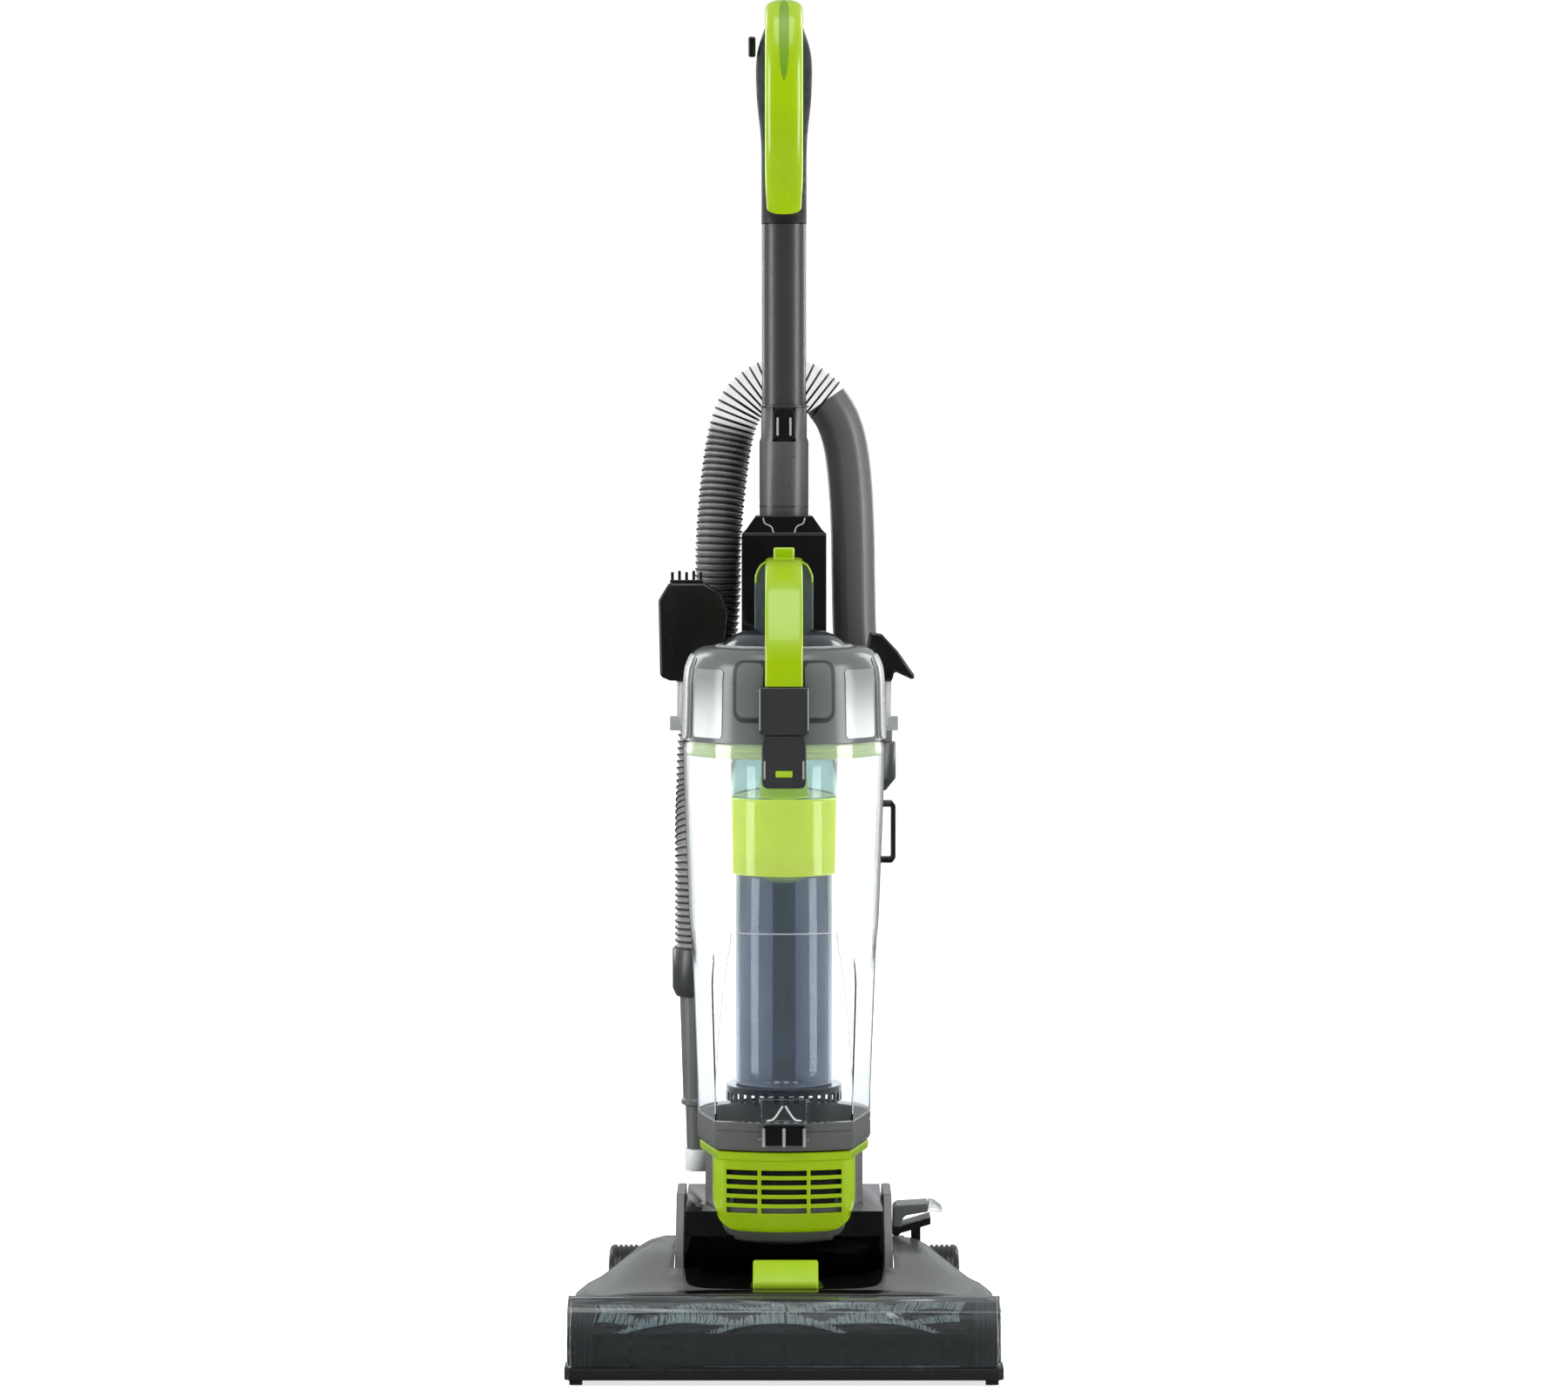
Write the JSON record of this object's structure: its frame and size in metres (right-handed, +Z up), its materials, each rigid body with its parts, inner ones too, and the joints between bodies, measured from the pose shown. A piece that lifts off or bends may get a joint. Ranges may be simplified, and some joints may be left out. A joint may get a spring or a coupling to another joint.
{
  "type": "upright vacuum cleaner",
  "caption": "Upright bagless vacuum cleaner with a wide floor head, reclining body, lift-off clear dust bin, loop handle, stretch hose and clip-on tools.",
  "frame": {"origin": "on the floor, at the centre of the bottom of the bounding box, under the pivot of the body", "axes": "+Z up, front of the cleaner towards -Y, +X to the right as seen from the front"},
  "size_m": [0.34, 0.321, 1.0849],
  "materials": {
    "black": "satin",
    "blue_smoke": "gloss",
    "bristle": "stiff fibre",
    "clear": "clear gloss",
    "copper": "wound",
    "dark_grey": "satin",
    "foam": "open foam",
    "grey": "satin",
    "hose": "satin",
    "light_grey": "satin",
    "lime": "gloss",
    "pale_lime": "satin",
    "rubber": "matte",
    "smoke": "clear gloss",
    "steel": "machined",
    "teal_smoke": "clear gloss",
    "white": "satin"
  },
  "bodies": {
    "floor_head": {"head_base": "light_grey", "head_cover": "grey", "brush_window": "smoke", "front_bumper": "rubber", "brush_motor": "steel", "drive_belt": "rubber"},
    "rear_wheel_left": {"rear_wheel_left": "black"},
    "rear_wheel_right": {"rear_wheel_right": "black"},
    "front_roller_left": {"front_roller_left": "black"},
    "front_roller_right": {"front_roller_right": "black"},
    "brush_roll": {"brush_core": "black", "bristle_strip_a": "bristle", "bristle_strip_b": "bristle"},
    "motor_pinion": {"motor_pinion": "steel"},
    "foot_pad": {"foot_pad": "lime"},
    "recline_pedal": {"pedal_lever": "light_grey", "pedal_tip": "clear"},
    "main_body": {"pivot_cradle": "black", "motor_housing": "grey", "front_grill": "lime", "exhaust_filter": "foam", "motor_stator": "copper", "inlet_grid": "dark_grey", "spine_shell": "black", "back_panel": "dark_grey", "tube_lower": "dark_grey", "tool_mount_left": "light_grey", "tool_mount_right": "light_grey", "cord_hook_lower": "black", "hose": "hose", "hose_duct": "grey", "hose_cuff": "dark_grey", "hose_socket": "dark_grey", "wand": "grey", "wand_port": "white"},
    "motor_rotor": {"motor_rotor": "steel"},
    "swivel_hook": {"cord_hook_upper": "black"},
    "dust_bin": {"bin_wall": "clear", "bin_lid": "grey", "bin_seal": "pale_lime", "lid_dome": "smoke", "handle_stand": "dark_grey", "carry_handle": "lime", "latch_arm": "dark_grey", "cyclone_cap": "teal_smoke", "cyclone_band": "lime", "cyclone_tube": "blue_smoke", "cyclone_pipe": "blue_smoke", "cyclone_skirt": "smoke"},
    "bin_button": {"bin_button": "lime"},
    "bin_door": {"bin_door": "grey"},
    "door_buckle": {"door_buckle": "clear"},
    "handle": {"tube_upper": "dark_grey", "handle_grip": "black", "handle_front": "lime", "cord_clip": "black"},
    "tube_latch": {"tube_latch": "black"},
    "dusting_brush": {"dusting_brush": "black", "brush_tufts": "bristle"},
    "upholstery_nozzle": {"upholstery_nozzle": "black"}
  },
  "joints": [
    {"name": "rear_wheel_left_spin", "type": "hinge", "parent": "floor_head", "child": "rear_wheel_left", "pos_m": [-0.131, 0.105, 0.033], "axis": [1, 0, 0], "continuous": true},
    {"name": "front_roller_left_spin", "type": "hinge", "parent": "floor_head", "child": "front_roller_left", "pos_m": [-0.057, -0.0755, 0.01], "axis": [1, 0, 0], "continuous": true},
    {"name": "rear_wheel_right_spin", "type": "hinge", "parent": "floor_head", "child": "rear_wheel_right", "pos_m": [0.131, 0.105, 0.033], "axis": [1, 0, 0], "continuous": true},
    {"name": "front_roller_right_spin", "type": "hinge", "parent": "floor_head", "child": "front_roller_right", "pos_m": [0.057, -0.0755, 0.01], "axis": [1, 0, 0], "continuous": true},
    {"name": "brush_spin", "type": "hinge", "parent": "floor_head", "child": "brush_roll", "pos_m": [0, -0.1235, 0.0295], "axis": [1, 0, 0], "continuous": true},
    {"name": "pinion_spin", "type": "hinge", "parent": "floor_head", "child": "motor_pinion", "pos_m": [0.146, -0.0515, 0.038], "axis": [1, 0, 0], "continuous": true},
    {"name": "foot_pad_press", "type": "hinge", "parent": "floor_head", "child": "foot_pad", "pos_m": [0, -0.095, 0.0655], "axis": [-1, 0, 0], "range_deg": [0, 8], "stiffness_Nm_per_rad": 0.8},
    {"name": "recline_pedal_press", "type": "hinge", "parent": "floor_head", "child": "recline_pedal", "pos_m": [0.091, 0.055, 0.088], "axis": [0, 1, 0], "range_deg": [0, 12], "stiffness_Nm_per_rad": 0.6},
    {"name": "recline", "type": "hinge", "parent": "floor_head", "child": "main_body", "pos_m": [0, 0.055, 0.08], "axis": [-1, 0, 0], "range_deg": [0, 55]},
    {"name": "rotor_spin", "type": "hinge", "parent": "main_body", "child": "motor_rotor", "pos_m": [0, 0, 0.12], "axis": [0, 0, 1], "continuous": true},
    {"name": "swivel_hook_turn", "type": "hinge", "parent": "main_body", "child": "swivel_hook", "pos_m": [0, 0.134, 0.6076], "axis": [0, 1, 0], "range_deg": [0, 180]},
    {"name": "bin_lift", "type": "slide", "parent": "main_body", "child": "dust_bin", "axis": [0, -0.5, 0.866], "range_m": [0, 0.3]},
    {"name": "bin_button_press", "type": "slide", "parent": "dust_bin", "child": "bin_button", "axis": [0, 0, -1], "range_m": [0, 0.003], "stiffness_N_per_m": 300},
    {"name": "bin_door_swing", "type": "hinge", "parent": "dust_bin", "child": "bin_door", "pos_m": [0, 0.073, 0.1858], "axis": [1, 0, 0], "range_deg": [0, 90]},
    {"name": "door_buckle_swing", "type": "hinge", "parent": "dust_bin", "child": "door_buckle", "pos_m": [0, -0.07252, 0.2103], "axis": [-1, 0, 0], "range_deg": [0, 20], "stiffness_Nm_per_rad": 0.2},
    {"name": "handle_pull", "type": "slide", "parent": "main_body", "child": "handle", "axis": [0, 0, 1], "range_m": [0, 0.075]},
    {"name": "tube_latch_press", "type": "slide", "parent": "main_body", "child": "tube_latch", "axis": [0, 1, 0], "range_m": [0, 0.0025], "stiffness_N_per_m": 300},
    {"name": "dusting_brush_pull", "type": "slide", "parent": "main_body", "child": "dusting_brush", "axis": [0, 0, 1], "range_m": [0, 0.03]},
    {"name": "upholstery_nozzle_pull", "type": "slide", "parent": "main_body", "child": "upholstery_nozzle", "axis": [0, 0, 1], "range_m": [0, 0.03]}
  ],
  "couplings": [
    {"joint": "bin_door_swing", "follows": "bin_lift", "rad_per_m": 5.236},
    {"joint": "pinion_spin", "follows": "brush_spin", "ratio": 2}
  ]
}
